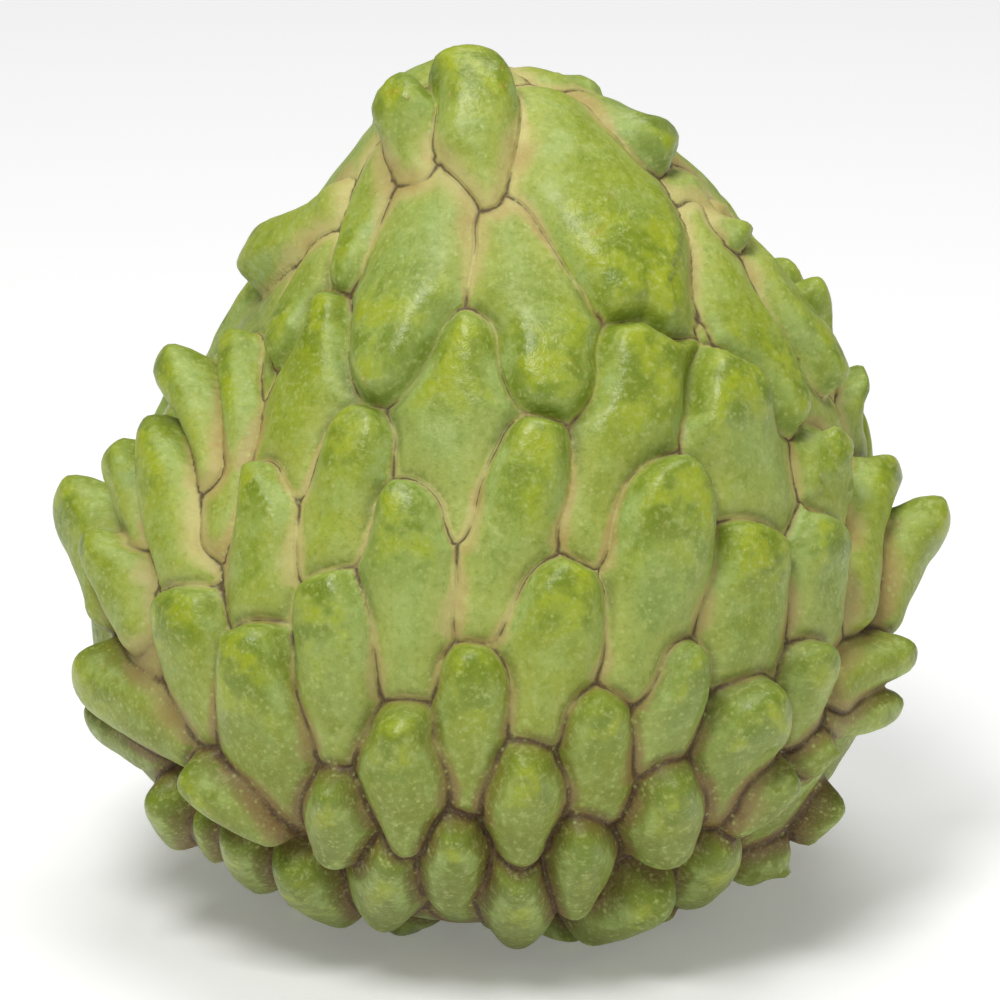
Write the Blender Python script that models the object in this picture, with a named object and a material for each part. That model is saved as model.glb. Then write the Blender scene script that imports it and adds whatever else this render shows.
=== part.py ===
# A whole atemoya standing on its stem end, apex up, with the carpels of its rind raised from its body.
# The carpels on the front are placed by name, and the others follow a spiral round the fruit.
# Blender 4.5. The model is in metres with +Z up. Sizes below are in millimetres, and MM turns them
# to metres when the mesh is made.

import math

import bpy
import numpy as np
from mathutils.kdtree import KDTree

MM = 0.001
SEED = 20

# Radius and height of the body under the carpels, from the stem cavity out, round and up to the apex.
BODY_PROFILE = (
    (0.0, 12.5), (4.5, 12.2), (8.0, 10.0), (11.5, 7.0), (15.0, 5.2), (19.5, 4.6), (25.0, 6.0),
    (30.0, 8.6), (34.8, 12.0), (38.8, 16.8), (42.0, 22.8), (43.9, 30.0), (44.3, 37.5), (42.8, 45.0),
    (39.4, 53.5), (34.8, 62.5), (28.9, 72.0), (23.7, 80.5), (17.1, 88.3), (11.0, 95.2), (0.0, 99.3),
)
PROFILE_STEP = 0.25
# The fruit leans: how far to +X its middle lies at each height.
LEAN_HEIGHTS = (0.0, 28.0, 46.0, 60.0, 70.0, 82.0, 91.0, 98.0)
LEAN_OFFSETS = (-1.4, -1.8, -1.0, 1.4, 2.4, 1.8, 0.0, -5.0)

# The front view in which the named carpels are placed: PICTURE_SCALE picture units to a millimetre.
VIEW_ELEVATION = math.radians(18.0)
EYE_DISTANCE = 900.0
PICTURE_SCALE = 8.85
PICTURE_AXIS_X = 503.0
PICTURE_GROUND_Y = 901.0
PICTURE_MIDDLE_Y = 500.0
# How much of a carpel's height the sight line meets over its nose and over its root.
NOSE_SIGHT = 0.75
ROOT_SIGHT = 0.3

# Each kind of carpel: how square its outline is, how much ground its root gives up, how much lower
# its root lies than its nose, how wide its shoulder is as a share of its half width, how far its
# nose nods, and how much it swells past the half widths given at nose, middle and root. The shoulder
# is tighter round the nose than round the root.
KINDS = {
    "petal": {
        "steep": 3.0, "give": 0.50, "fall": 0.60, "shoulder": 0.55, "nod": 0.15, "swell": (1.02, 1.02, 1.02),
    },
    "finger": {
        "steep": 2.7, "give": 0.55, "fall": 0.70, "shoulder": 0.55, "nod": 0.28, "swell": (1.07, 1.07, 1.07),
    },
    "knob": {
        "steep": 2.3, "give": 0.20, "fall": 0.25, "shoulder": 0.85, "nod": 0.12, "swell": (0.80, 1.04, 0.90),
    },
}
NOSE_SHOULDER = 0.75
ROOT_SHOULDER = 1.3

# Named carpels: tip x and y, root x and y in the front view, then in millimetres the half widths
# at tip, middle and root, and the height of the nose.
FRONT_PETALS = {
    "crown": (476, 45, 488, 206, 5.4, 5.2, 1.6, 4.6),
    "crownLeft": (396, 71, 412, 186, 4.4, 4.8, 3.4, 4.2),
    "leftCheek": (335, 292, 385, 143, 2.9, 3.5, 3.1, 1.8),
    "bigLeft": (372, 394, 436, 163, 5.2, 7.3, 5.5, 3.2),
    "bigRight": (626, 325, 550, 90, 3.9, 9.0, 5.2, 3.4),
    "bigRightLobe": (665, 332, 664, 222, 2.9, 3.2, 2.6, 3.6),
    "crownBack": (606, 80, 520, 64, 3.8, 4.6, 3.6, 1.8),
    "crownRight": (669, 158, 590, 88, 5.2, 5.8, 4.6, 3.3),
    "middle": (566, 420, 503, 206, 5.8, 7.1, 4.4, 3.2),
    "leftWing": (228, 267, 330, 198, 4.2, 4.6, 3.9, 4.8),
    "leftUnderwing": (268, 358, 318, 240, 3.4, 4.0, 3.4, 2.2),
    "rightLong": (801, 426, 697, 196, 2.7, 4.2, 3.1, 2.6),
    "rightOuter": (845, 398, 712, 196, 3.6, 4.8, 3.1, 4.2),
    "rightShoulder": (761, 258, 690, 180, 4.6, 5.0, 4.2, 3.0),
}
FRONT_FINGERS = {
    "underBigLeft": (462, 302, 458, 536, 4.1, 6.4, 3.9, 3.0),
    "besideBigLeft": (318, 283, 283, 487, 3.2, 4.6, 4.0, 2.6),
    "leftSlope": (232, 324, 203, 552, 3.4, 3.7, 3.2, 3.2),
    "leftInner": (354, 401, 322, 564, 3.7, 4.4, 3.8, 3.0),
    "leftNarrow": (258, 447, 248, 620, 2.7, 4.0, 3.4, 3.0),
    "centreLeft": (400, 467, 408, 704, 4.0, 5.2, 3.6, 4.0),
    "centre": (545, 400, 482, 638, 4.3, 5.4, 3.8, 3.4),
    "underBigRight": (645, 314, 592, 554, 4.8, 5.2, 4.4, 3.0),
    "centreRight": (686, 442, 626, 698, 5.4, 5.9, 3.8, 4.6),
    "rightTall": (728, 354, 758, 519, 4.5, 5.2, 4.5, 3.8),
    "rightBroad": (760, 511, 750, 669, 4.8, 5.2, 4.5, 3.0),
    "rightUpperOuter": (838, 427, 838, 517, 3.8, 4.2, 3.6, 3.2),
    "rightLowerOuter": (828, 505, 828, 638, 4.2, 4.6, 4.0, 3.0),
    "rightRim": (885, 450, 868, 613, 3.6, 4.0, 3.4, 4.4),
    "rightHorn": (939, 471, 893, 640, 4.4, 5.2, 3.6, 8.6),
    "rightTuck": (788, 330, 838, 434, 2.2, 2.9, 2.5, 2.2),
    "rightEdge": (858, 350, 872, 456, 3.6, 3.9, 3.2, 4.0),
    "rightPeak": (801, 279, 843, 372, 3.4, 4.2, 3.4, 4.6),
    "lowCentre": (572, 550, 528, 746, 5.1, 5.6, 3.6, 3.8),
    "lowSlim": (602, 682, 594, 825, 3.7, 4.1, 3.5, 3.2),
    "lowLeftOfCentre": (472, 637, 463, 816, 4.0, 4.4, 2.7, 3.4),
    "lowRightInner": (695, 637, 650, 779, 3.5, 4.0, 3.4, 3.2),
    "lowRightBig": (773, 672, 716, 829, 4.8, 5.8, 3.9, 4.8),
    "lowRightOuter": (822, 635, 806, 746, 3.1, 3.4, 3.0, 3.4),
    "rightLowHorn": (909, 642, 838, 706, 3.2, 3.5, 3.1, 5.4),
    "rightLowEdge": (895, 698, 822, 733, 2.9, 2.8, 2.4, 5.2),
    "lowLeftBig": (243, 611, 280, 829, 4.5, 6.2, 4.8, 4.2),
    "lowLeftInner": (330, 557, 335, 776, 4.2, 4.6, 3.0, 4.0),
    "leftHorn": (179, 343, 200, 487, 3.7, 4.0, 3.0, 7.0),
    "leftBroad": (155, 410, 180, 592, 4.6, 5.0, 4.3, 5.2),
    "leftBroadLower": (165, 572, 205, 741, 4.6, 5.0, 3.9, 2.8),
    "leftBehind": (130, 430, 116, 562, 3.7, 3.3, 2.9, 6.2),
    "leftRim": (77, 466, 92, 620, 4.3, 4.7, 3.8, 7.6),
    "leftRimLower": (92, 521, 128, 647, 3.6, 4.0, 3.4, 5.5),
    "leftTuck": (128, 606, 138, 668, 2.6, 3.0, 2.6, 0.7),
    "leftLowHorn": (74, 659, 188, 757, 3.9, 4.3, 3.4, 4.8),
    "leftLowEdge": (76, 706, 162, 776, 3.4, 3.5, 2.7, 4.2),
}
FRONT_KNOBS = {
    "knobLeftTall": (397, 701, 404, 853, 4.8, 5.5, 3.1, 5.6),
    "knobCentreTall": (525, 741, 520, 864, 4.1, 5.0, 3.6, 5.0),
    "knobLeft": (328, 775, 334, 865, 4.4, 4.9, 4.1, 5.4),
    "knobRight": (674, 766, 664, 866, 4.6, 5.1, 4.3, 5.0),
    "knobCentreLeft": (448, 819, 448, 908, 3.8, 4.3, 3.6, 4.8),
    "knobCentreRight": (588, 821, 570, 912, 3.8, 4.2, 3.4, 4.2),
    "footCentre": (515, 862, 515, 947, 4.1, 4.6, 3.9, 4.4),
    "footTuck": (462, 905, 462, 940, 2.6, 3.0, 2.6, 0.6),
    "footUnder": (430, 930, 440, 975, 4.2, 4.6, 4.2, 0.3),
    "footRight": (672, 890, 582, 952, 4.3, 4.8, 4.0, 5.2),
    "footLeft": (392, 842, 382, 922, 4.1, 4.6, 3.9, 4.0),
    "footFarLeft": (278, 860, 336, 930, 4.3, 4.8, 4.0, 4.2),
    "footLeftEdge": (227, 831, 259, 895, 3.7, 4.1, 3.5, 3.8),
    "knobFarLeft": (166, 766, 286, 837, 4.2, 4.7, 2.9, 5.4),
    "knobLeftGap": (200, 821, 212, 857, 2.4, 2.7, 2.2, 3.0),
    "knobLeftEdge": (156, 792, 178, 840, 3.5, 3.9, 3.3, 5.4),
    "footFarRight": (722, 836, 688, 908, 4.3, 4.8, 4.0, 4.0),
    "knobFarRight": (805, 767, 721, 832, 4.3, 4.8, 3.2, 5.0),
    "knobRightHigh": (839, 729, 804, 779, 3.3, 3.7, 3.1, 4.2),
    "knobRightEdge": (839, 794, 804, 847, 3.1, 3.3, 2.8, 5.0),
    "footRightEdge": (797, 856, 744, 898, 3.8, 4.3, 3.6, 4.8),
}
# A lobe is a second nose of its petal: no seam runs between the two, only a soft crease.
LOBES = {"bigRightLobe": "bigRight"}

# The spiral: below each height, the kind of carpel, its length, half width and height,
# and the area of rind that each takes.
SPIRAL_BANDS = (
    {"top": 15.0, "kind": "knob", "length": 10.5, "half": 4.5, "lift": 4.0, "area": 92.0},
    {"top": 26.0, "kind": "finger", "length": 17.0, "half": 4.9, "lift": 4.8, "area": 140.0},
    {"top": 68.0, "kind": "finger", "length": 25.0, "half": 5.3, "lift": 4.4, "area": 205.0},
    {"top": 99.0, "kind": "petal", "length": 23.0, "half": 6.6, "lift": 2.2, "area": 250.0},
)
BAND_BLEND_STEPS = 40
GOLDEN_ANGLE = math.pi * (3.0 - math.sqrt(5.0))
SPIRAL_START = 0.52
# Beside the named carpels, which make the outline of the front view, those of the spiral lie lower:
# the share of their height that they keep, by how far back they are. Underneath, where the fruit
# stands on them, they keep it all but for those furthest ahead.
BESIDE_NAMED_DEPTHS = (0.0, 24.0)
BESIDE_NAMED_LIFTS = (0.3, 1.0)
UNDERSIDE_TOP = 6.5
UNDERSIDE_DEPTHS = (-20.0, -12.0)
UNDERSIDE_LIFTS = (0.7, 1.0)
SIZE_SPREAD = 0.10
TURN_SPREAD = 0.16
CLEARANCE_FROM_NAMED = 1.25
LEAST_SHOWING = 0.42

# Growth is uneven: the outlines of the carpels wander by the sum of these waves.
WAVE_HEIGHT = 0.15
WAVE_LENGTHS = (9.0, 12.0, 15.0, 19.0)

SCAR_HALF_WIDTH = 4.2
SCAR_LIFT = 0.7

# Low on the fruit each carpel stands free with its own round back, and above they run together:
# the share of the free shape at each height.
FREE_HEIGHTS = (22.0, 58.0)
FREE_SHARES = (0.9, 0.3)
# The deepest a gap between free carpels goes, the rounding at its bottom, the rounding at the bottom
# of a shared seam, and how much neighbours blend where three of them meet.
GAP_FLOOR = 1.5
GAP_ROUNDING = 1.0
SEAM_SOFTNESS = 0.35
BLEND = 0.8
SHARP_BLEND = 0.02
LEAST_LEAD = 0.001

LATTICE_SPACING = 1.0
TRIANGLES = 11700
FOOT_CUT = 0.9

RIND_COLOUR = (0.26, 0.38, 0.10, 1.0)
RIND_ROUGHNESS = 0.5


def clear_scene():
    for obj in list(bpy.data.objects):
        bpy.data.objects.remove(obj, do_unlink=True)


def rounded(points, rounds):
    # Cuts the corners of an open line, and leaves its two ends where they are.
    line = np.array(points, dtype=float)
    for _ in range(rounds):
        near = 0.75 * line[:-1] + 0.25 * line[1:]
        far = 0.25 * line[:-1] + 0.75 * line[1:]
        cut = np.stack([near, far], axis=1).reshape(-1, line.shape[1])
        line = np.vstack([line[:1], cut[1:-1], line[-1:]])
    return line


class Body:
    # The smooth body: a turned profile, with its middle moved sideways by the lean.

    def __init__(self, profile):
        line = rounded(profile, 4)
        steps = np.hypot(*np.diff(line, axis=0).T)
        along = np.concatenate([[0.0], np.cumsum(steps)])
        count = int(along[-1] / PROFILE_STEP) + 1
        self.along = np.linspace(0.0, along[-1], count)
        self.radius = np.interp(self.along, along, line[:, 0])
        self.height = np.interp(self.along, along, line[:, 1])
        slope_r = np.gradient(self.radius, self.along)
        slope_z = np.gradient(self.height, self.along)
        length = np.hypot(slope_r, slope_z)
        self.normal_r = slope_z / length
        self.normal_z = -slope_r / length

    @property
    def length(self):
        return self.along[-1]

    def points(self, turn, along):
        radius = np.interp(along, self.along, self.radius)
        height = np.interp(along, self.along, self.height)
        lean = np.interp(height, LEAN_HEIGHTS, LEAN_OFFSETS)
        return np.stack([radius * np.cos(turn) + lean, radius * np.sin(turn), height], axis=-1)

    def normals(self, turn, along):
        out = np.interp(along, self.along, self.normal_r)
        up = np.interp(along, self.along, self.normal_z)
        return np.stack([out * np.cos(turn), out * np.sin(turn), up], axis=-1)

    def nearest(self, points):
        # Turn and place along the profile of the body's point nearest to each given point.
        points = np.atleast_2d(points)
        middle = points[:, 0] - np.interp(points[:, 2], LEAN_HEIGHTS, LEAN_OFFSETS)
        turn = np.arctan2(points[:, 1], middle)
        radius = np.hypot(middle, points[:, 1])
        closest = np.empty(len(points), dtype=int)
        for start in range(0, len(points), 2000):
            part = slice(start, start + 2000)
            gap_r = radius[part, None] - self.radius
            gap_z = points[part, 2, None] - self.height
            closest[part] = np.argmin(gap_r ** 2 + gap_z ** 2, axis=1)
        along = self.along[closest]
        least = np.full(len(points), np.inf)
        for side in (-1, 0):
            start = np.clip(closest + side, 0, len(self.along) - 2)
            run_r = self.radius[start + 1] - self.radius[start]
            run_z = self.height[start + 1] - self.height[start]
            gap_r = radius - self.radius[start]
            gap_z = points[:, 2] - self.height[start]
            share = np.clip((gap_r * run_r + gap_z * run_z) / (run_r ** 2 + run_z ** 2), 0.0, 1.0)
            gap = np.hypot(gap_r - share * run_r, gap_z - share * run_z)
            along = np.where(gap < least, self.along[start] + share * self.along[1], along)
            least = np.minimum(gap, least)
        return turn, along

    def snapped(self, points):
        return self.points(*self.nearest(points))

    def height_over(self, points):
        turn, along = self.nearest(points)
        gap = np.atleast_2d(points) - self.points(turn, along)
        return np.sum(gap * self.normals(turn, along), axis=1)


def seen_point(body, x, y, height):
    # The body's point under a place in the front view, for something that stands so high over it.
    ahead = np.array([0.0, math.cos(VIEW_ELEVATION), -math.sin(VIEW_ELEVATION)])
    up = np.array([0.0, math.sin(VIEW_ELEVATION), math.cos(VIEW_ELEVATION)])
    right = np.array([1.0, 0.0, 0.0])
    middle_height = (PICTURE_GROUND_Y - PICTURE_MIDDLE_Y) / (PICTURE_SCALE * math.cos(VIEW_ELEVATION))
    middle = np.array([0.0, 0.0, middle_height])
    eye = middle - EYE_DISTANCE * ahead
    target = middle + right * (x - PICTURE_AXIS_X) / PICTURE_SCALE
    target = target + up * (PICTURE_MIDDLE_Y - y) / PICTURE_SCALE
    ray = (target - eye) / np.linalg.norm(target - eye)
    reach = np.linspace(EYE_DISTANCE - 70.0, EYE_DISTANCE + 30.0, 401)
    line = eye + reach[:, None] * ray
    over = body.height_over(line)
    inside = np.nonzero(over < height)[0]
    chosen = inside[0] if len(inside) else int(np.argmin(over))
    return body.snapped(line[chosen])[0]


def make_carpel(body, name, kind, tip_end, root_end, halves, lift):
    # The axis of a carpel runs on the body from its nose to its root, a little inside both ends.
    halves = tuple(swell * half for swell, half in zip(KINDS[kind]["swell"], halves))
    middle = body.snapped((tip_end + root_end) / 2.0)[0]
    to_tip = (tip_end - middle) / max(np.linalg.norm(tip_end - middle), 1e-6)
    to_root = (root_end - middle) / max(np.linalg.norm(root_end - middle), 1e-6)
    nod = KINDS[kind]["nod"] * lift
    reach_tip = max(np.linalg.norm(tip_end - middle) - 0.95 * halves[0] - nod, 0.4)
    reach_root = max(np.linalg.norm(root_end - middle) - 0.7 * halves[2], 0.4)
    tip = body.snapped(middle + to_tip * reach_tip)[0]
    root = body.snapped(middle + to_root * reach_root)[0]
    heading = (tip - root) / max(np.linalg.norm(tip - root), 1e-6)
    return {
        "name": name, "tip": tip, "middle": middle, "root": root, "halves": halves,
        "lift": lift, "heading": heading, **KINDS[kind],
    }


def named_carpels(body):
    carpels = []
    tables = (("petal", FRONT_PETALS), ("finger", FRONT_FINGERS), ("knob", FRONT_KNOBS))
    for kind, table in tables:
        for name, (tip_x, tip_y, root_x, root_y, *halves, lift) in table.items():
            tip_end = seen_point(body, tip_x, tip_y, NOSE_SIGHT * lift)
            root_end = seen_point(body, root_x, root_y, ROOT_SIGHT * lift)
            carpels.append(make_carpel(body, name, kind, tip_end, root_end, halves, lift))
    return carpels


def band_at(height):
    for band in SPIRAL_BANDS:
        if height < band["top"]:
            return band
    return SPIRAL_BANDS[-1]


def spiral_places(body):
    # Carpels follow each other round the fruit by the golden angle, each with its share of rind,
    # which changes smoothly from band to band.
    areas = np.array([band_at(height)["area"] for height in body.height])
    reach = BAND_BLEND_STEPS // 2
    kernel = np.ones(2 * reach + 1) / (2 * reach + 1)
    areas = np.convolve(np.pad(areas, reach, mode="edge"), kernel, mode="valid")
    shares = 2.0 * math.pi * body.radius / areas
    steps = np.diff(body.along) * (shares[:-1] + shares[1:]) / 2.0
    total = np.concatenate([[0.0], np.cumsum(steps)])
    scar_share = np.interp(SCAR_HALF_WIDTH, body.along, total)
    count = int(total[-1] - scar_share)
    order = np.arange(count)
    along = np.interp(scar_share + order + 0.5, total, body.along)
    return SPIRAL_START + order * GOLDEN_ANGLE, along


def spiral_carpels(body):
    rng = np.random.default_rng(SEED)
    carpels = []
    for number, (turn, along) in enumerate(zip(*spiral_places(body))):
        spread = rng.uniform(-1.0, 1.0, 4)
        centre = body.points(turn, along)
        band = band_at(centre[2])
        size = 1.0 + SIZE_SPREAD * spread[0]
        swing = TURN_SPREAD * spread[1]
        half_length = 0.5 * band["length"] * (1.0 + SIZE_SPREAD * spread[2])
        up = -1.0 if band["kind"] == "petal" else 1.0
        around = np.array([-math.sin(turn), math.cos(turn), 0.0])
        along_tip = min(max(along + up * half_length * math.cos(swing), 0.5), body.length - 0.5)
        along_root = min(max(along - up * half_length * math.cos(swing), 0.5), body.length - 0.5)
        sideways = around * half_length * math.sin(swing)
        tip_end = body.snapped(body.points(turn, along_tip) + sideways)[0]
        root_end = body.snapped(body.points(turn, along_root) - sideways)[0]
        half = band["half"] * size
        halves = (0.78 * half, half, 0.7 * half)
        if centre[2] > UNDERSIDE_TOP:
            kept = np.interp(centre[1], BESIDE_NAMED_DEPTHS, BESIDE_NAMED_LIFTS)
        else:
            kept = np.interp(centre[1], UNDERSIDE_DEPTHS, UNDERSIDE_LIFTS)
        lift = band["lift"] * kept * (1.0 + SIZE_SPREAD * spread[3])
        name = f"spiral{number}"
        carpels.append(make_carpel(body, name, band["kind"], tip_end, root_end, halves, lift))
    return carpels


def scar(body):
    # The round scar that the stem left in the middle of the cavity.
    centre = body.points(0.0, 0.0)
    side = body.points(0.0, 0.8)
    halves = (SCAR_HALF_WIDTH,) * 3
    return make_carpel(body, "scar", "knob", side, 2.0 * centre - side, halves, SCAR_LIFT)


def half_width(start, end, share, stretch):
    # Widens quickly from the nose, is fullest at the middle, and narrows late towards the root.
    if stretch == 0:
        ease = np.sin(0.5 * math.pi * share)
    else:
        ease = 1.0 - np.cos(0.5 * math.pi * share)
    return start + (end - start) * ease


def column(carpels, trait):
    return np.array([carpel[trait] for carpel in carpels])


def wander(points):
    rng = np.random.default_rng(SEED)
    moved = np.zeros_like(points)
    for length in WAVE_LENGTHS:
        waves = rng.normal(size=(3, 3))
        waves *= 2.0 * math.pi / length / np.linalg.norm(waves, axis=1, keepdims=True)
        moved += WAVE_HEIGHT * np.sin(points @ waves.T + rng.uniform(0.0, 2.0 * math.pi, 3))
    return moved


def claims(points, carpels):
    # How strongly every carpel claims each point of the body, and the place along its axis.
    tips = column(carpels, "tip")
    middles = column(carpels, "middle")
    roots = column(carpels, "root")
    halves = column(carpels, "halves")
    steeps = column(carpels, "steep")
    points = points + wander(points)
    best = np.full((len(points), len(carpels)), np.inf)
    place = np.zeros_like(best)
    for stretch, (start, end) in enumerate(((tips, middles), (middles, roots))):
        run = end - start
        length_squared = np.maximum(np.sum(run ** 2, axis=1), 1e-9)
        offset = points[:, None, :] - start
        share = np.clip(np.sum(offset * run, axis=2) / length_squared, 0.0, 1.0)
        gap = np.linalg.norm(offset - share[:, :, None] * run, axis=2)
        across = gap / half_width(halves[:, stretch], halves[:, stretch + 1], share, stretch)
        closer = across < best
        best = np.where(closer, across, best)
        place = np.where(closer, (stretch + share) / 2.0, place)
    weight = column(carpels, "lift") * (1.0 - column(carpels, "give") * eased(place))
    inner = 1.0 - np.minimum(best, 1.0) ** steeps
    outer = steeps * np.maximum(best - 1.0, 0.0)
    return weight * (inner - outer), place


def eased(place):
    return place * place * (3.0 - 2.0 * place)


def owners(carpels):
    # The carpel that each belongs to: a lobe to its petal, and any other to itself.
    names = [carpel["name"] for carpel in carpels]
    return np.array([names.index(LOBES.get(name, name)) for name in names])


def showing(points, carpels, blend):
    # The carpel that shows at each point, its claim, how clearly it claims the point from the others,
    # and the place along its axis.
    owner = owners(carpels)
    first = np.empty(len(points), dtype=int)
    best = np.empty(len(points))
    lead = np.empty(len(points))
    place = np.empty(len(points))
    for start in range(0, len(points), 3000):
        part = slice(start, start + 3000)
        claim, along = claims(points[part], carpels)
        rows = np.arange(len(claim))
        chosen = np.argmax(claim, axis=1)
        top = claim[rows, chosen]
        chosen = owner[chosen]
        claim[owner == chosen[:, None]] = -np.inf
        second = claim.max(axis=1)
        others = np.exp((claim - second[:, None]) / blend).sum(axis=1)
        first[part] = chosen
        best[part] = top
        lead[part] = top - second - blend * np.log(others)
        place[part] = along[rows, chosen]
    return first, best, lead, place


def lattice(body, spacing):
    # Rows of points round the body, one point at each pole, joined by strips of triangles.
    rows = int(round(body.length / (spacing * math.sqrt(3.0) / 2.0)))
    turns = [np.zeros(1)]
    alongs = [np.zeros(1)]
    for row in range(1, rows):
        along = body.length * row / rows
        radius = float(np.interp(along, body.along, body.radius))
        count = max(int(round(2.0 * math.pi * radius / spacing)), 6)
        start = 0.5 * (row % 2)
        turns.append((np.arange(count) + start) * 2.0 * math.pi / count)
        alongs.append(np.full(count, along))
    turns.append(np.zeros(1))
    alongs.append(np.full(1, body.length))
    faces = []
    first = 0
    for lower, upper in zip(turns[:-1], turns[1:]):
        faces.extend(strip(first, lower, first + len(lower), upper))
        first += len(lower)
    return np.concatenate(turns), np.concatenate(alongs), faces


def strip(lower_start, lower, upper_start, upper):
    # Triangles between two rows, stepping along whichever row is behind.
    if len(lower) == 1:
        return [(lower_start, upper_start + (k + 1) % len(upper), upper_start + k)
                for k in range(len(upper))]
    if len(upper) == 1:
        return [(lower_start + k, lower_start + (k + 1) % len(lower), upper_start)
                for k in range(len(lower))]
    faces = []
    low = 0
    high = 0
    while low < len(lower) or high < len(upper):
        next_low = lower[0] + 2.0 * math.pi * (low + 1) / len(lower)
        next_high = upper[0] + 2.0 * math.pi * (high + 1) / len(upper)
        a = lower_start + low % len(lower)
        b = upper_start + high % len(upper)
        if high >= len(upper) or (low < len(lower) and next_low <= next_high):
            faces.append((a, lower_start + (low + 1) % len(lower), b))
            low += 1
        else:
            faces.append((a, upper_start + (high + 1) % len(upper), b))
            high += 1
    return faces


def all_carpels(body, points):
    # Named carpels first, then those of the spiral that find room and show enough of themselves.
    named = named_carpels(body) + [scar(body)]
    spiral = spiral_carpels(body)
    centres = np.array([c["middle"] for c in spiral])
    claim, _ = claims(centres, named)
    taken = -(CLEARANCE_FROM_NAMED - 1.0) * column(named, "steep") * column(named, "lift")
    room = np.all(claim < taken, axis=1)
    carpels = named + [c for c, free in zip(spiral, room) if free]
    first, _, _, _ = showing(points, carpels, SHARP_BLEND)
    shown = np.bincount(first, minlength=len(carpels)) * LATTICE_SPACING ** 2 * math.sqrt(3.0) / 2.0
    kept = []
    for carpel, area in zip(carpels, shown):
        length = np.linalg.norm(carpel["tip"] - carpel["root"])
        full = 2.0 * carpel["halves"][1] * (length + carpel["halves"][1])
        if not carpel["name"].startswith("spiral") or area > LEAST_SHOWING * full:
            kept.append(carpel)
    return kept


def seam_distances(points, faces, first, lead):
    # How far each point is from the nearest seam. A seam crosses every edge whose two ends show
    # different carpels, where both would lead by the same.
    faces = np.array(faces)
    edges = np.vstack([faces[:, [0, 1]], faces[:, [1, 2]], faces[:, [2, 0]]])
    start, end = edges[first[edges[:, 0]] < first[edges[:, 1]]].T
    lead = np.maximum(lead, 0.0) + LEAST_LEAD
    share = (lead[start] / (lead[start] + lead[end]))[:, None]
    seams = points[start] * (1.0 - share) + points[end] * share
    tree = KDTree(len(seams))
    for number, seam in enumerate(seams):
        tree.insert(seam, number)
    tree.balance()
    return np.array([tree.find(point)[2] for point in points])


def rind_points(body, points, faces, carpels):
    # Joined backs lie on the body at each seam and round over from there. Free ones keep their own
    # round shape down to the gap between them. The rind is a share of each, and noses lean ahead.
    turn, along = body.nearest(points)
    first, claim, lead, place = showing(points, carpels, BLEND)
    distance = seam_distances(points, faces, first, lead)
    lead = np.maximum(lead, 0.0)
    traits = ("lift", "fall", "nod", "heading")
    own = {trait: column(carpels, trait)[first] for trait in traits}
    shoulder = (column(carpels, "shoulder") * column(carpels, "halves")[:, 1])[first]
    shoulder = shoulder * (NOSE_SHOULDER + (ROOT_SHOULDER - NOSE_SHOULDER) * place)
    rise = distance ** 2 / (distance + SEAM_SOFTNESS)
    rounding = 1.0 - (1.0 - np.minimum(rise / shoulder, 1.0)) ** 2
    joined = own["lift"] * (1.0 - own["fall"] * eased(place)) * rounding
    fillet = 0.25 * GAP_ROUNDING * np.maximum(1.0 - lead / GAP_ROUNDING, 0.0) ** 2
    free = np.maximum(claim + fillet, -GAP_FLOOR)
    share = np.interp(points[:, 2], FREE_HEIGHTS, FREE_SHARES)
    raised = share * free + (1.0 - share) * joined
    clear_of_seam = np.minimum(2.0 * rounding, 1.0)
    lean = own["nod"] * np.maximum(raised, 0.0) * clear_of_seam * (1.0 - place) ** 2
    return points + body.normals(turn, along) * raised[:, None] + own["heading"] * lean[:, None]


def mesh_from(name, points, faces):
    mesh = bpy.data.meshes.new(name)
    mesh.from_pydata((points * MM).tolist(), [], faces)
    mesh.update()
    return mesh


def thinned(obj, triangles):
    # Keeps the creases and noses while the flatter backs lose points.
    modifier = obj.modifiers.new("Thin", "DECIMATE")
    modifier.ratio = triangles / len(obj.data.polygons)
    graph = bpy.context.evaluated_depsgraph_get()
    mesh = bpy.data.meshes.new_from_object(obj.evaluated_get(graph))
    obj.modifiers.clear()
    obj.data = mesh


def stand_on_knobs(mesh):
    # The lowest knobs are cut flat, and the middle of the whole goes over the origin.
    points = np.array([v.co[:] for v in mesh.vertices])
    floor = points[:, 2].min() + FOOT_CUT * MM
    points[:, 2] = np.maximum(points[:, 2], floor) - floor
    middle = (points.min(axis=0) + points.max(axis=0)) / 2.0
    points[:, :2] -= middle[:2]
    for vertex, point in zip(mesh.vertices, points):
        vertex.co = point
    mesh.update()


def rind_material():
    material = bpy.data.materials.new("Rind")
    material.use_nodes = True
    shader = material.node_tree.nodes["Principled BSDF"]
    shader.inputs["Base Color"].default_value = RIND_COLOUR
    shader.inputs["Roughness"].default_value = RIND_ROUGHNESS
    shader.inputs["Metallic"].default_value = 0.0
    return material


def build_atemoya():
    body = Body(BODY_PROFILE)
    turn, along, faces = lattice(body, LATTICE_SPACING)
    points = body.points(turn, along)
    carpels = all_carpels(body, points)
    rind = rind_points(body, points, faces, carpels)
    fruit = bpy.data.objects.new("atemoya", mesh_from("atemoya", rind, faces))
    bpy.context.collection.objects.link(fruit)
    thinned(fruit, TRIANGLES)
    stand_on_knobs(fruit.data)
    fruit.data.materials.append(rind_material())
    fruit.data.shade_smooth()
    print("carpels", len(carpels), "triangles", len(fruit.data.polygons))
    return fruit


clear_scene()
build_atemoya()
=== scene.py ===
import math
from types import SimpleNamespace

import bpy
import numpy as np
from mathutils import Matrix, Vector, noise
from mathutils.kdtree import KDTree


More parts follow.
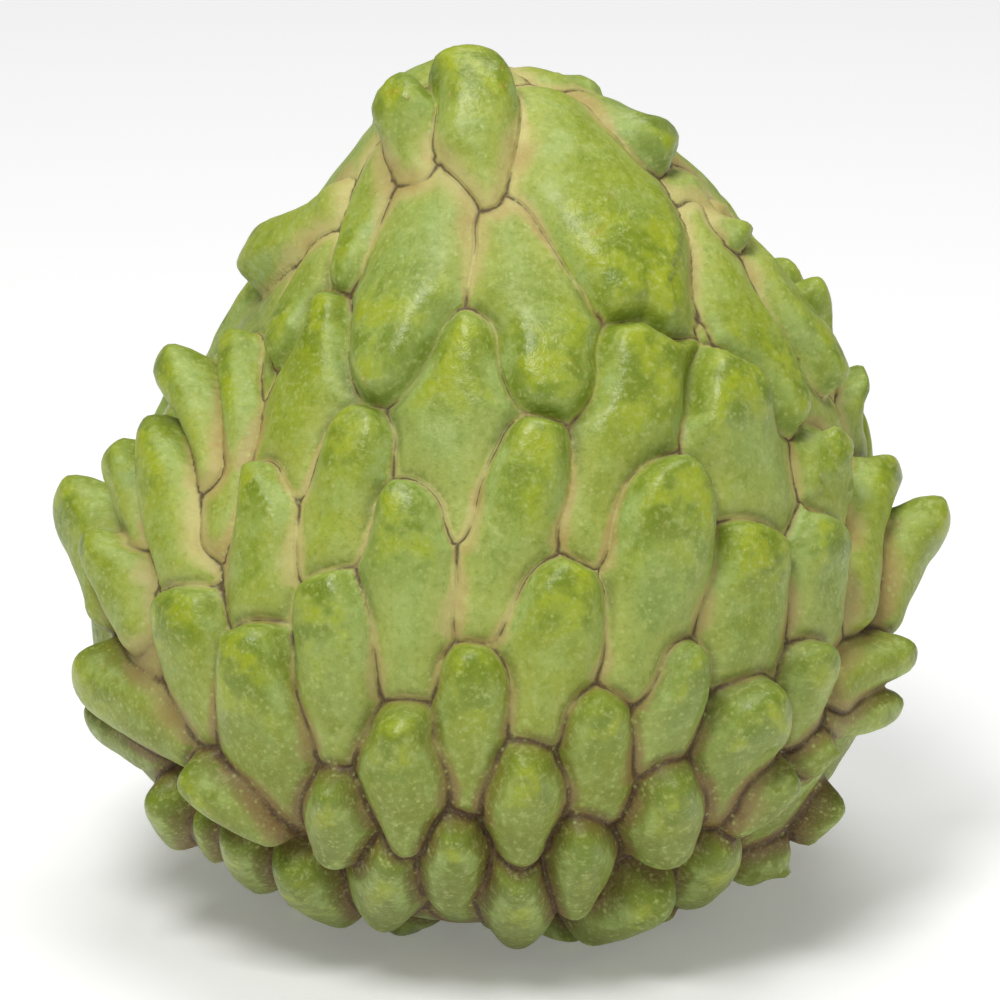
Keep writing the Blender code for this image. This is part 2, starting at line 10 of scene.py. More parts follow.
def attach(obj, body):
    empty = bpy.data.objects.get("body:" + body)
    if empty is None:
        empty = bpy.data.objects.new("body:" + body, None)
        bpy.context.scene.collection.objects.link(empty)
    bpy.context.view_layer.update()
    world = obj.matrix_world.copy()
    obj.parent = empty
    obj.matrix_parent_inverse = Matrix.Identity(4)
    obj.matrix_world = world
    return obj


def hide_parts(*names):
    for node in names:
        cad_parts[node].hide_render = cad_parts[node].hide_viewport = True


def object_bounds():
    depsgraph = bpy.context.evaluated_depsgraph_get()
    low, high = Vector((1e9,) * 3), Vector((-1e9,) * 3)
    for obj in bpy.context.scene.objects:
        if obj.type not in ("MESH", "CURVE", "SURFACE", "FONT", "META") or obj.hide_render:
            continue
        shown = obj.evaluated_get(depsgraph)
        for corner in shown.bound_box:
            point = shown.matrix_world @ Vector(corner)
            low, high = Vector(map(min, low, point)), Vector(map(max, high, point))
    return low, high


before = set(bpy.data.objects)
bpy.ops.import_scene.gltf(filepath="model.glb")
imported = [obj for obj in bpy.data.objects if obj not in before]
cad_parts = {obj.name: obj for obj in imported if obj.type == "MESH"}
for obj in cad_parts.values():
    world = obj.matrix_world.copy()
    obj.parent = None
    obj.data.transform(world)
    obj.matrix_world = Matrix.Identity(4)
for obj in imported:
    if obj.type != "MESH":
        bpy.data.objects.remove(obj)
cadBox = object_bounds()

mm = 0.001

# The smooth body under the carpels: radius and height in millimetres, from the stem cavity round to
# the apex, and how far its middle leans to +X at each height.
body = {
    "profile": (
        (0.0, 12.5), (4.5, 12.2), (8.0, 10.0), (11.5, 7.0), (15.0, 5.2), (19.5, 4.6), (25.0, 6.0),
        (30.0, 8.6), (34.8, 12.0), (38.8, 16.8), (42.0, 22.8), (43.9, 30.0), (44.3, 37.5), (42.8, 45.0),
        (39.4, 53.5), (34.8, 62.5), (28.9, 72.0), (23.7, 80.5), (17.1, 88.3), (11.0, 95.2), (0.0, 99.3),
    ),
    "profileStep": 0.25,
    "cornerRounds": 4,
    "leanHeights": (0.0, 28.0, 46.0, 60.0, 70.0, 82.0, 91.0, 98.0),
    "leanOffsets": (-1.4, -1.8, -1.0, 1.4, 2.4, 1.8, 0.0, -5.0),
    "footCut": 0.9,
}

# The front view in which the named carpels are placed, with so many picture units to a millimetre.
frontView = {
    "elevation": math.radians(18.0),
    "eyeDistance": 900.0,
    "scale": 8.85,
    "axisX": 503.0,
    "groundY": 901.0,
    "middleY": 500.0,
    "noseSight": 0.75,
    "rootSight": 0.3,
    "searchBefore": 70.0,
    "searchBeyond": 30.0,
    "searchSteps": 401,
}

# How square an outline is, how much ground a root gives up, how much lower it lies than the nose,
# the shoulder as a share of the half width, how far the nose nods, and how much the carpel swells
# at its nose, middle and root.
kinds = {
    "petal": {
        "steep": 3.0, "give": 0.50, "fall": 0.60, "shoulder": 0.55, "nod": 0.15,
        "swell": (1.02, 1.02, 1.02),
    },
    "finger": {
        "steep": 2.7, "give": 0.55, "fall": 0.70, "shoulder": 0.55, "nod": 0.28,
        "swell": (1.07, 1.07, 1.07),
    },
    "knob": {
        "steep": 2.3, "give": 0.20, "fall": 0.25, "shoulder": 0.85, "nod": 0.12,
        "swell": (0.80, 1.04, 0.90),
    },
}

# Tip x and y and root x and y in the front view, then half widths at tip, middle and root, and the
# height of the nose, in millimetres.
petals = {
    "crown": (476, 45, 488, 206, 5.4, 5.2, 1.6, 4.6),
    "crownLeft": (396, 71, 412, 186, 4.4, 4.8, 3.4, 4.2),
    "leftCheek": (335, 292, 385, 143, 2.9, 3.5, 3.1, 1.8),
    "bigLeft": (372, 394, 436, 163, 5.2, 7.3, 5.5, 3.2),
    "bigRight": (626, 325, 550, 90, 3.9, 9.0, 5.2, 3.4),
    "bigRightLobe": (665, 332, 664, 222, 2.9, 3.2, 2.6, 3.6),
    "crownBack": (606, 80, 520, 64, 3.8, 4.6, 3.6, 1.8),
    "crownRight": (669, 158, 590, 88, 5.2, 5.8, 4.6, 3.3),
    "middle": (566, 420, 503, 206, 5.8, 7.1, 4.4, 3.2),
    "leftWing": (228, 267, 330, 198, 4.2, 4.6, 3.9, 4.8),
    "leftUnderwing": (268, 358, 318, 240, 3.4, 4.0, 3.4, 2.2),
    "rightLong": (801, 426, 697, 196, 2.7, 4.2, 3.1, 2.6),
    "rightOuter": (845, 398, 712, 196, 3.6, 4.8, 3.1, 4.2),
    "rightShoulder": (761, 258, 690, 180, 4.6, 5.0, 4.2, 3.0),
}
fingers = {
    "underBigLeft": (462, 302, 458, 536, 4.1, 6.4, 3.9, 3.0),
    "besideBigLeft": (318, 283, 283, 487, 3.2, 4.6, 4.0, 2.6),
    "leftSlope": (232, 324, 203, 552, 3.4, 3.7, 3.2, 3.2),
    "leftInner": (354, 401, 322, 564, 3.7, 4.4, 3.8, 3.0),
    "leftNarrow": (258, 447, 248, 620, 2.7, 4.0, 3.4, 3.0),
    "centreLeft": (400, 467, 408, 704, 4.0, 5.2, 3.6, 4.0),
    "centre": (545, 400, 482, 638, 4.3, 5.4, 3.8, 3.4),
    "underBigRight": (645, 314, 592, 554, 4.8, 5.2, 4.4, 3.0),
    "centreRight": (686, 442, 626, 698, 5.4, 5.9, 3.8, 4.6),
    "rightTall": (728, 354, 758, 519, 4.5, 5.2, 4.5, 3.8),
    "rightBroad": (760, 511, 750, 669, 4.8, 5.2, 4.5, 3.0),
    "rightUpperOuter": (838, 427, 838, 517, 3.8, 4.2, 3.6, 3.2),
    "rightLowerOuter": (828, 505, 828, 638, 4.2, 4.6, 4.0, 3.0),
    "rightRim": (885, 450, 868, 613, 3.6, 4.0, 3.4, 4.4),
    "rightHorn": (939, 471, 893, 640, 4.4, 5.2, 3.6, 8.6),
    "rightTuck": (788, 330, 838, 434, 2.2, 2.9, 2.5, 2.2),
    "rightEdge": (858, 350, 872, 456, 3.6, 3.9, 3.2, 4.0),
    "rightPeak": (801, 279, 843, 372, 3.4, 4.2, 3.4, 4.6),
    "lowCentre": (572, 550, 528, 746, 5.1, 5.6, 3.6, 3.8),
    "lowSlim": (602, 682, 594, 825, 3.7, 4.1, 3.5, 3.2),
    "lowLeftOfCentre": (472, 637, 463, 816, 4.0, 4.4, 2.7, 3.4),
    "lowRightInner": (695, 637, 650, 779, 3.5, 4.0, 3.4, 3.2),
    "lowRightBig": (773, 672, 716, 829, 4.8, 5.8, 3.9, 4.8),
    "lowRightOuter": (822, 635, 806, 746, 3.1, 3.4, 3.0, 3.4),
    "rightLowHorn": (909, 642, 838, 706, 3.2, 3.5, 3.1, 5.4),
    "rightLowEdge": (895, 698, 822, 733, 2.9, 2.8, 2.4, 5.2),
    "lowLeftBig": (243, 611, 280, 829, 4.5, 6.2, 4.8, 4.2),
    "lowLeftInner": (330, 557, 335, 776, 4.2, 4.6, 3.0, 4.0),
    "leftHorn": (179, 343, 200, 487, 3.7, 4.0, 3.0, 7.0),
    "leftBroad": (155, 410, 180, 592, 4.6, 5.0, 4.3, 5.2),
    "leftBroadLower": (165, 572, 205, 741, 4.6, 5.0, 3.9, 2.8),
    "leftBehind": (130, 430, 116, 562, 3.7, 3.3, 2.9, 6.2),
    "leftRim": (77, 466, 92, 620, 4.3, 4.7, 3.8, 7.6),
    "leftRimLower": (92, 521, 128, 647, 3.6, 4.0, 3.4, 5.5),
    "leftTuck": (128, 606, 138, 668, 2.6, 3.0, 2.6, 0.7),
    "leftLowHorn": (74, 659, 188, 757, 3.9, 4.3, 3.4, 4.8),
    "leftLowEdge": (76, 706, 162, 776, 3.4, 3.5, 2.7, 4.2),
}
knobs = {
    "knobLeftTall": (397, 701, 404, 853, 4.8, 5.5, 3.1, 5.6),
    "knobCentreTall": (525, 741, 520, 864, 4.1, 5.0, 3.6, 5.0),
    "knobLeft": (328, 775, 334, 865, 4.4, 4.9, 4.1, 5.4),
    "knobRight": (674, 766, 664, 866, 4.6, 5.1, 4.3, 5.0),
    "knobCentreLeft": (448, 819, 448, 908, 3.8, 4.3, 3.6, 4.8),
    "knobCentreRight": (588, 821, 570, 912, 3.8, 4.2, 3.4, 4.2),
    "footCentre": (515, 862, 515, 947, 4.1, 4.6, 3.9, 4.4),
    "footTuck": (462, 905, 462, 940, 2.6, 3.0, 2.6, 0.6),
    "footUnder": (430, 930, 440, 975, 4.2, 4.6, 4.2, 0.3),
    "footRight": (672, 890, 582, 952, 4.3, 4.8, 4.0, 5.2),
    "footLeft": (392, 842, 382, 922, 4.1, 4.6, 3.9, 4.0),
    "footFarLeft": (278, 860, 336, 930, 4.3, 4.8, 4.0, 4.2),
    "footLeftEdge": (227, 831, 259, 895, 3.7, 4.1, 3.5, 3.8),
    "knobFarLeft": (166, 766, 286, 837, 4.2, 4.7, 2.9, 5.4),
    "knobLeftGap": (200, 821, 212, 857, 2.4, 2.7, 2.2, 3.0),
    "knobLeftEdge": (156, 792, 178, 840, 3.5, 3.9, 3.3, 5.4),
    "footFarRight": (722, 836, 688, 908, 4.3, 4.8, 4.0, 4.0),
    "knobFarRight": (805, 767, 721, 832, 4.3, 4.8, 3.2, 5.0),
    "knobRightHigh": (839, 729, 804, 779, 3.3, 3.7, 3.1, 4.2),
    "knobRightEdge": (839, 794, 804, 847, 3.1, 3.3, 2.8, 5.0),
    "footRightEdge": (797, 856, 744, 898, 3.8, 4.3, 3.6, 4.8),
}

# How far inside its two ends a carpel's axis stops, as shares of the half widths there, and the
# least length that each half of the axis keeps, in millimetres.
axisEnds = {"noseInset": 0.95, "rootInset": 0.7, "least": 0.4}

# A lobe is a second nose of its petal, with no seam between the two.
lobes = {"bigRightLobe": "bigRight"}

# The carpels of the back, sides and underside: below each height, their kind, length, half width,
# height and the area of rind that each takes. Beside the named ones and under the front they keep
# only a share of their height, which grows with the depth at which they stand.
spiral = {
    "bands": (
        {"top": 15.0, "kind": "knob", "length": 10.5, "half": 4.5, "lift": 4.0, "area": 92.0},
        {"top": 26.0, "kind": "finger", "length": 17.0, "half": 4.9, "lift": 4.8, "area": 140.0},
        {"top": 68.0, "kind": "finger", "length": 25.0, "half": 5.3, "lift": 4.4, "area": 205.0},
        {"top": 99.0, "kind": "petal", "length": 23.0, "half": 6.6, "lift": 2.2, "area": 250.0},
    ),
    "bandBlendSteps": 40,
    "goldenAngle": math.pi * (3.0 - math.sqrt(5.0)),
    "start": 0.52,
    "seed": 20,
    "besideDepths": (0.0, 24.0),
    "besideLifts": (0.3, 1.0),
    "undersideTop": 6.5,
    "undersideDepths": (-20.0, -12.0),
    "undersideLifts": (0.7, 1.0),
    "noseShare": 0.78,
    "rootShare": 0.70,
    "poleClearance": 0.5,
    "sizeSpread": 0.10,
    "turnSpread": 0.16,
    "clearance": 1.25,
    "leastShowing": 0.42,
    "countingSpacing": 1.0,
}

# The outlines of the carpels wander by the sum of these waves.
waviness = {"height": 0.15, "lengths": (9.0, 12.0, 15.0, 19.0)}

# The round scar that the stem left, in the middle of the underside.
scar = {"halfWidth": 4.2, "halfLength": 0.8, "lift": 0.7}

# How the backs rise from their seams. Low down they stand free of each other and higher up they
# join, by these shares between these heights. The shoulders are factors, and the rest is millimetres.
relief = {
    "freeHeights": (22.0, 58.0),
    "freeShares": (0.9, 0.3),
    "gapFloor": 1.5,
    "gapRounding": 1.0,
    "seamSoftness": 0.35,
    "blend": 0.8,
    "sharpBlend": 0.02,
    "noseShoulder": 0.75,
    "rootShoulder": 1.3,
}

# Shallow lumps all over the rind: their height and size in millimetres.
unevenness = ((0.16, 4.2), (0.07, 1.9))

latticeSpacing = 0.58  # millimetres between the points of the finished mesh
seamLayers = 3  # signed distances that tell one side of a seam from the other
lookRounds = 3  # times that a value is averaged with its neighbours
nearestAtOnce = 2000  # points worked out together, to spare memory
claimsAtOnce = 3000


def rounded(points, rounds):
    # cuts the corners of an open line and keeps its ends
    line = np.array(points, dtype=float)
    for _ in range(rounds):
        near = 0.75 * line[:-1] + 0.25 * line[1:]
        far = 0.25 * line[:-1] + 0.75 * line[1:]
        cut = np.stack([near, far], axis=1).reshape(-1, line.shape[1])
        line = np.vstack([line[:1], cut[1:-1], line[-1:]])
    return line


class SmoothBody:
    # a turned profile whose middle is moved sideways by the lean

    def __init__(self):
        line = rounded(body["profile"], body["cornerRounds"])
        steps = np.hypot(*np.diff(line, axis=0).T)
        along = np.concatenate([[0.0], np.cumsum(steps)])
        count = int(along[-1] / body["profileStep"]) + 1
        self.along = np.linspace(0.0, along[-1], count)
        self.radius = np.interp(self.along, along, line[:, 0])
        self.height = np.interp(self.along, along, line[:, 1])
        slopeR = np.gradient(self.radius, self.along)
        slopeZ = np.gradient(self.height, self.along)
        length = np.hypot(slopeR, slopeZ)
        self.normalR = slopeZ / length
        self.normalZ = -slopeR / length
        self.length = self.along[-1]

    def points(self, turn, along):
        radius = np.interp(along, self.along, self.radius)
        height = np.interp(along, self.along, self.height)
        lean = np.interp(height, body["leanHeights"], body["leanOffsets"])
        return np.stack([radius * np.cos(turn) + lean, radius * np.sin(turn), height], axis=-1)

    def normals(self, turn, along):
        out = np.interp(along, self.along, self.normalR)
        up = np.interp(along, self.along, self.normalZ)
        return np.stack([out * np.cos(turn), out * np.sin(turn), up], axis=-1)

    def nearest(self, points):
        # turn and place along the profile of the point nearest to each given point
        points = np.atleast_2d(points)
        middle = points[:, 0] - np.interp(points[:, 2], body["leanHeights"], body["leanOffsets"])
        turn = np.arctan2(points[:, 1], middle)
        radius = np.hypot(middle, points[:, 1])
        closest = np.empty(len(points), dtype=int)
        for start in range(0, len(points), nearestAtOnce):
            part = slice(start, start + nearestAtOnce)
            gapR = radius[part, None] - self.radius
            gapZ = points[part, 2, None] - self.height
            closest[part] = np.argmin(gapR ** 2 + gapZ ** 2, axis=1)
        along = self.along[closest]
        least = np.full(len(points), np.inf)
        for side in (-1, 0):
            start = np.clip(closest + side, 0, len(self.along) - 2)
            runR = self.radius[start + 1] - self.radius[start]
            runZ = self.height[start + 1] - self.height[start]
            gapR = radius - self.radius[start]
            gapZ = points[:, 2] - self.height[start]
            share = np.clip((gapR * runR + gapZ * runZ) / (runR ** 2 + runZ ** 2), 0.0, 1.0)
            gap = np.hypot(gapR - share * runR, gapZ - share * runZ)
            along = np.where(gap < least, self.along[start] + share * self.along[1], along)
            least = np.minimum(gap, least)
        return turn, along

    def snapped(self, points):
        return self.points(*self.nearest(points))

    def heightOver(self, points):
        turn, along = self.nearest(points)
        gap = np.atleast_2d(points) - self.points(turn, along)
        return np.sum(gap * self.normals(turn, along), axis=1)


def seenPoint(smooth, x, y, height):
    # the body's point under a place in the front view, for something that stands so high over it
    tilt = frontView["elevation"]
    ahead = np.array([0.0, math.cos(tilt), -math.sin(tilt)])
    up = np.array([0.0, math.sin(tilt), math.cos(tilt)])
    right = np.array([1.0, 0.0, 0.0])
    rise = (frontView["groundY"] - frontView["middleY"]) / (frontView["scale"] * math.cos(tilt))
    middle = np.array([0.0, 0.0, rise])
    eye = middle - frontView["eyeDistance"] * ahead
    target = middle + right * (x - frontView["axisX"]) / frontView["scale"]
    target = target + up * (frontView["middleY"] - y) / frontView["scale"]
    ray = (target - eye) / np.linalg.norm(target - eye)
    near = frontView["eyeDistance"] - frontView["searchBefore"]
    far = frontView["eyeDistance"] + frontView["searchBeyond"]
    line = eye + np.linspace(near, far, frontView["searchSteps"])[:, None] * ray
    over = smooth.heightOver(line)
    inside = np.nonzero(over < height)[0]
    chosen = inside[0] if len(inside) else int(np.argmin(over))
    return smooth.snapped(line[chosen])[0]


def makeCarpel(smooth, name, kind, tipEnd, rootEnd, halves, lift):
    # its axis runs on the body from nose to root, a little inside both ends
    traits = kinds[kind]
    halves = tuple(swell * half for swell, half in zip(traits["swell"], halves))
    middle = smooth.snapped((tipEnd + rootEnd) / 2.0)[0]
    toTip = (tipEnd - middle) / max(np.linalg.norm(tipEnd - middle), 1e-6)
    toRoot = (rootEnd - middle) / max(np.linalg.norm(rootEnd - middle), 1e-6)
    nod = traits["nod"] * lift
    reachTip = np.linalg.norm(tipEnd - middle) - axisEnds["noseInset"] * halves[0] - nod
    reachRoot = np.linalg.norm(rootEnd - middle) - axisEnds["rootInset"] * halves[2]
    reachTip = max(reachTip, axisEnds["least"])
    reachRoot = max(reachRoot, axisEnds["least"])
    tip = smooth.snapped(middle + toTip * reachTip)[0]
    root = smooth.snapped(middle + toRoot * reachRoot)[0]
    heading = (tip - root) / max(np.linalg.norm(tip - root), 1e-6)
    return {
        "name": name, "tip": tip, "middle": middle, "root": root, "halves": halves,
        "lift": lift, "heading": heading, **traits,
    }


def namedCarpels(smooth):
    carpels = []
    for kind, table in (("petal", petals), ("finger", fingers), ("knob", knobs)):
        for name, (tipX, tipY, rootX, rootY, *halves, lift) in table.items():
            tipEnd = seenPoint(smooth, tipX, tipY, frontView["noseSight"] * lift)
            rootEnd = seenPoint(smooth, rootX, rootY, frontView["rootSight"] * lift)
            carpels.append(makeCarpel(smooth, name, kind, tipEnd, rootEnd, halves, lift))
    return carpels


def bandAt(height):
    for band in spiral["bands"]:
        if height < band["top"]:
            return band
    return spiral["bands"][-1]


def spiralPlaces(smooth):
    # each follows the last by the golden angle, with its own share of rind
    areas = np.array([bandAt(height)["area"] for height in smooth.height])
    reach = spiral["bandBlendSteps"] // 2
    kernel = np.ones(2 * reach + 1) / (2 * reach + 1)
    areas = np.convolve(np.pad(areas, reach, mode="edge"), kernel, mode="valid")
    shares = 2.0 * math.pi * smooth.radius / areas
    steps = np.diff(smooth.along) * (shares[:-1] + shares[1:]) / 2.0
    total = np.concatenate([[0.0], np.cumsum(steps)])
    scarShare = np.interp(scar["halfWidth"], smooth.along, total)
    count = int(total[-1] - scarShare)
    order = np.arange(count)
    along = np.interp(scarShare + order + 0.5, total, smooth.along)
    return spiral["start"] + order * spiral["goldenAngle"], along


def spiralCarpels(smooth):
    rng = np.random.default_rng(spiral["seed"])
    carpels = []
    for number, (turn, along) in enumerate(zip(*spiralPlaces(smooth))):
        spread = rng.uniform(-1.0, 1.0, 4)
        centre = smooth.points(turn, along)
        band = bandAt(centre[2])
        size = 1.0 + spiral["sizeSpread"] * spread[0]
        swing = spiral["turnSpread"] * spread[1]
        halfLength = 0.5 * band["length"] * (1.0 + spiral["sizeSpread"] * spread[2])
        climb = halfLength * math.cos(swing)
        if band["kind"] == "petal":
            climb = -climb
        around = np.array([-math.sin(turn), math.cos(turn), 0.0])
        clear = spiral["poleClearance"]
        alongTip = min(max(along + climb, clear), smooth.length - clear)
        alongRoot = min(max(along - climb, clear), smooth.length - clear)
        sideways = around * halfLength * math.sin(swing)
        tipEnd = smooth.snapped(smooth.points(turn, alongTip) + sideways)[0]
        rootEnd = smooth.snapped(smooth.points(turn, alongRoot) - sideways)[0]
        half = band["half"] * size
        halves = (spiral["noseShare"] * half, half, spiral["rootShare"] * half)
        if centre[2] > spiral["undersideTop"]:
            kept = np.interp(centre[1], spiral["besideDepths"], spiral["besideLifts"])
        else:
            kept = np.interp(centre[1], spiral["undersideDepths"], spiral["undersideLifts"])
        lift = band["lift"] * kept * (1.0 + spiral["sizeSpread"] * spread[3])
        name = f"spiral{number}"
        carpels.append(makeCarpel(smooth, name, band["kind"], tipEnd, rootEnd, halves, lift))
    return carpels


def stemScar(smooth):
    centre = smooth.points(0.0, 0.0)
    side = smooth.points(0.0, scar["halfLength"])
    halves = (scar["halfWidth"],) * 3
    return makeCarpel(smooth, "scar", "knob", side, 2.0 * centre - side, halves, scar["lift"])


def halfWidth(start, end, share, stretch):
    # widens quickly from the nose and narrows late towards the root
    if stretch == 0:
        ease = np.sin(0.5 * math.pi * share)
    else:
        ease = 1.0 - np.cos(0.5 * math.pi * share)
    return start + (end - start) * ease


def column(carpels, trait):
    return np.array([carpel[trait] for carpel in carpels])


def eased(place):
    return place * place * (3.0 - 2.0 * place)


def wander(points):
    rng = np.random.default_rng(spiral["seed"])
    moved = np.zeros_like(points)
    for length in waviness["lengths"]:
        waves = rng.normal(size=(3, 3))
        waves *= 2.0 * math.pi / length / np.linalg.norm(waves, axis=1, keepdims=True)
        moved += waviness["height"] * np.sin(points @ waves.T + rng.uniform(0.0, 2.0 * math.pi, 3))
    return moved


def claims(points, carpels):
    # how strongly every carpel claims each point of the body, and the place along its axis
    tips = column(carpels, "tip")
    middles = column(carpels, "middle")
    roots = column(carpels, "root")
    halves = column(carpels, "halves")
    steeps = column(carpels, "steep")
    points = points + wander(points)
    best = np.full((len(points), len(carpels)), np.inf)
    place = np.zeros_like(best)
    for stretch, (start, end) in enumerate(((tips, middles), (middles, roots))):
        run = end - start
        lengthSquared = np.maximum(np.sum(run ** 2, axis=1), 1e-9)
        offset = points[:, None, :] - start
        share = np.clip(np.sum(offset * run, axis=2) / lengthSquared, 0.0, 1.0)
        gap = np.linalg.norm(offset - share[:, :, None] * run, axis=2)
        across = gap / halfWidth(halves[:, stretch], halves[:, stretch + 1], share, stretch)
        closer = across < best
        best = np.where(closer, across, best)
        place = np.where(closer, (stretch + share) / 2.0, place)
    weight = column(carpels, "lift") * (1.0 - column(carpels, "give") * eased(place))
    inner = 1.0 - np.minimum(best, 1.0) ** steeps
    outer = steeps * np.maximum(best - 1.0, 0.0)
    return weight * (inner - outer), place


def owners(carpels):
    # the carpel that each belongs to: a lobe to its petal, and any other to itself
    names = [carpel["name"] for carpel in carpels]
    return np.array([names.index(lobes.get(name, name)) for name in names])


def showing(points, carpels, blend):
    # the carpel that shows at each point, its claim, its lead over the others and the place along it
    owner = owners(carpels)
    first = np.empty(len(points), dtype=int)
    best = np.empty(len(points))
    lead = np.empty(len(points))
    place = np.empty(len(points))
    for start in range(0, len(points), claimsAtOnce):
        part = slice(start, start + claimsAtOnce)
        claim, along = claims(points[part], carpels)
        rows = np.arange(len(claim))
        chosen = np.argmax(claim, axis=1)
        top = claim[rows, chosen]
        chosen = owner[chosen]
        claim[owner == chosen[:, None]] = -np.inf
        second = claim.max(axis=1)
        others = np.exp((claim - second[:, None]) / blend).sum(axis=1)
        first[part] = chosen
        best[part] = top
        lead[part] = top - second - blend * np.log(others)
        place[part] = along[rows, chosen]
    return first, best, lead, place


def lattice(smooth, spacing):
    # staggered rows of points round the body, one point at each pole, joined by strips of triangles
    rows = int(round(smooth.length / (spacing * math.sqrt(3.0) / 2.0)))
    turns = [np.zeros(1)]
    alongs = [np.zeros(1)]
    for row in range(1, rows):
        along = smooth.length * row / rows
        radius = float(np.interp(along, smooth.along, smooth.radius))
        count = max(int(round(2.0 * math.pi * radius / spacing)), 6)
        start = 0.5 * (row % 2)
        turns.append((np.arange(count) + start) * 2.0 * math.pi / count)
        alongs.append(np.full(count, along))
    turns.append(np.zeros(1))
    alongs.append(np.full(1, smooth.length))
    faces = []
    first = 0
    for lower, upper in zip(turns[:-1], turns[1:]):
        faces.extend(strip(first, lower, first + len(lower), upper))
        first += len(lower)
    return np.concatenate(turns), np.concatenate(alongs), faces


def strip(lowerStart, lower, upperStart, upper):
    # triangles between two rows, stepping along whichever row is behind
    if len(lower) == 1:
        return [(lowerStart, upperStart + (k + 1) % len(upper), upperStart + k)
                for k in range(len(upper))]
    if len(upper) == 1:
        return [(lowerStart + k, lowerStart + (k + 1) % len(lower), upperStart)
                for k in range(len(lower))]
    faces = []
    low = 0
    high = 0
    while low < len(lower) or high < len(upper):
        nextLow = lower[0] + 2.0 * math.pi * (low + 1) / len(lower)
        nextHigh = upper[0] + 2.0 * math.pi * (high + 1) / len(upper)
        a = lowerStart + low % len(lower)
        b = upperStart + high % len(upper)
        if high >= len(upper) or (low < len(lower) and nextLow <= nextHigh):
            faces.append((a, lowerStart + (low + 1) % len(lower), b))
            low += 1
        else:
            faces.append((a, upperStart + (high + 1) % len(upper), b))
            high += 1
    return faces


def allCarpels(smooth):
    # named carpels first, then those of the spiral that find room and show enough of themselves
    named = namedCarpels(smooth) + [stemScar(smooth)]
    others = spiralCarpels(smooth)
    centres = np.array([c["middle"] for c in others])
    claim, _ = claims(centres, named)
    taken = -(spiral["clearance"] - 1.0) * column(named, "steep") * column(named, "lift")
    room = np.all(claim < taken, axis=1)
    carpels = named + [c for c, free in zip(others, room) if free]
    spacing = spiral["countingSpacing"]
    turn, along, _ = lattice(smooth, spacing)
    first, _, _, _ = showing(smooth.points(turn, along), carpels, relief["sharpBlend"])
    shown = np.bincount(first, minlength=len(carpels)) * spacing ** 2 * math.sqrt(3.0) / 2.0
    kept = []
    for carpel, area in zip(carpels, shown):
        length = np.linalg.norm(carpel["tip"] - carpel["root"])
        full = 2.0 * carpel["halves"][1] * (length + carpel["halves"][1])
        if not carpel["name"].startswith("spiral") or area > spiral["leastShowing"] * full:
            kept.append(carpel)
    return kept


def nearestOf(targets, points):
    # which target is nearest to each point, and how far it is
    tree = KDTree(len(targets))
    for number, target in enumerate(targets):
        tree.insert(target, number)
    tree.balance()
    found = [tree.find(point)[1:] for point in points]
    return np.array([index for index, _ in found]), np.array([gap for _, gap in found])


def meshEdges(faces):
    faces = np.array(faces)
    pairs = np.vstack([faces[:, [0, 1]], faces[:, [1, 2]], faces[:, [2, 0]]])
    return np.unique(np.sort(pairs, axis=1), axis=0)


def seamLook(points, faces, first, lead, place):
    # distance to the nearest seam and junction, and the places along both carpels at that seam
    edges = meshEdges(faces)
    start, end = edges[first[edges[:, 0]] != first[edges[:, 1]]].T
    leadStart = np.maximum(lead[start], 0.0) + 1e-3
    leadEnd = np.maximum(lead[end], 0.0) + 1e-3
    share = (leadStart / (leadStart + leadEnd))[:, None]
    seams = points[start] * (1.0 - share) + points[end] * share
    nearest, distance = nearestOf(seams, points)
    startsHere = first[start[nearest]] == first
    own = np.where(startsHere, place[start[nearest]], place[end[nearest]])
    other = np.where(startsHere, place[end[nearest]], place[start[nearest]])
    corners = first[np.array(faces)]
    meet = (corners[:, 0] != corners[:, 1]) & (corners[:, 1] != corners[:, 2])
    meet &= corners[:, 2] != corners[:, 0]
    _, junction = nearestOf(points[np.array(faces)[meet]].mean(axis=1), points)
    beside = np.unique(np.sort(np.stack([first[start], first[end]], axis=1), axis=1), axis=0)
    return edges, distance, own, other, junction, beside


def sides(beside, count):
    # a number for each carpel that differs from those of its neighbours
    neighbours = [set() for _ in range(count)]
    for a, b in beside:
        neighbours[a].add(b)
        neighbours[b].add(a)
    numbers = np.full(count, -1)
    for carpel in sorted(range(count), key=lambda c: -len(neighbours[c])):
        taken = {numbers[other] for other in neighbours[carpel]}
        numbers[carpel] = next(number for number in range(count) if number not in taken)
    return numbers


def softened(values, edges, rounds):
    # averages each vertex with its neighbours
    count = np.bincount(edges.ravel(), minlength=len(values))
    for _ in range(rounds):
        total = np.bincount(edges[:, 0], values[edges[:, 1]], len(values))
        total += np.bincount(edges[:, 1], values[edges[:, 0]], len(values))
        values = 0.5 * values + 0.5 * total / count
    return values


def backHeight(own, claim, lead, place, distance, height):
    # how far each point is raised, and how clear it is of the seams: low down the backs stand free
    # of each other, and higher up they join at the seams
    tighter = relief["noseShoulder"] + (relief["rootShoulder"] - relief["noseShoulder"]) * place
    rise = distance ** 2 / (distance + relief["seamSoftness"])
    rounding = 1.0 - (1.0 - np.minimum(rise / (own["roundOff"] * tighter), 1.0)) ** 2
    joined = own["lift"] * (1.0 - own["fall"] * eased(place)) * rounding
    closeness = np.maximum(1.0 - np.maximum(lead, 0.0) / relief["gapRounding"], 0.0)
    fillet = 0.25 * relief["gapRounding"] * closeness ** 2
    free = np.maximum(claim + fillet, -relief["gapFloor"])
    share = np.interp(height, relief["freeHeights"], relief["freeShares"])
    return share * free + (1.0 - share) * joined, np.minimum(2.0 * rounding, 1.0)


